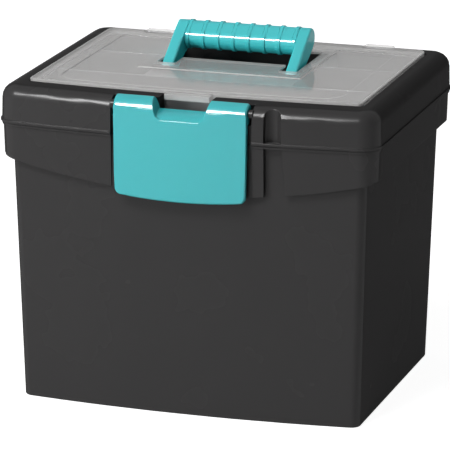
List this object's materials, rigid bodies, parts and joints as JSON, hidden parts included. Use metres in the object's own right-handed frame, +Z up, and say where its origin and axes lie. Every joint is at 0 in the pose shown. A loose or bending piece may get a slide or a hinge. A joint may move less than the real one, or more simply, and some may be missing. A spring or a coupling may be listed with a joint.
{
  "type": "portable file box",
  "caption": "Drafted plastic file box with an aproned rim, a lid holding a tray under a translucent cover, a swinging carry handle and a front latch.",
  "frame": {"origin": "on the floor under the middle of the closed box, halfway between its front and back", "axes": "+X to the right seen from the front, +Y from the latch front to the hinged back, +Z up"},
  "size_m": [0.3394, 0.2774, 0.309],
  "materials": {
    "charcoal": "fine matte moulded texture, satin on the rounded lid edges",
    "teal": "semi-gloss moulded",
    "smoke": "glossy translucent grey",
    "pin_steel": "blackened drawn wire"
  },
  "bodies": {
    "bin": {"bin": "charcoal", "lid_hinge_pin_left": "pin_steel", "lid_hinge_pin_right": "pin_steel"},
    "lid": {"lid": "charcoal", "cover_hinge_pin_left": "pin_steel", "cover_hinge_pin_right": "pin_steel", "handle_pin_left": "pin_steel", "handle_pin_right": "pin_steel", "latch_pin_left": "pin_steel", "latch_pin_right": "pin_steel"},
    "cover": {"storage_cover": "smoke"},
    "handle": {"handle": "teal"},
    "latch": {"latch": "teal"}
  },
  "joints": [
    {"name": "lid_hinge", "type": "hinge", "parent": "bin", "child": "lid", "pos_m": [0, 0.1353, 0.242], "axis": [-1, 0, 0], "range_deg": [0, 105]},
    {"name": "cover_hinge", "type": "hinge", "parent": "lid", "child": "cover", "pos_m": [0, 0.1218, 0.2768], "axis": [-1, 0, 0], "range_deg": [0, 105]},
    {"name": "handle_hinge", "type": "hinge", "parent": "lid", "child": "handle", "pos_m": [0, 0.0039, 0.274], "axis": [1, 0, 0], "range_deg": [-33, 57]},
    {"name": "latch_hinge", "type": "hinge", "parent": "lid", "child": "latch", "pos_m": [0, -0.12985, 0.2722], "axis": [-1, 0, 0], "range_deg": [0, 110]}
  ]
}
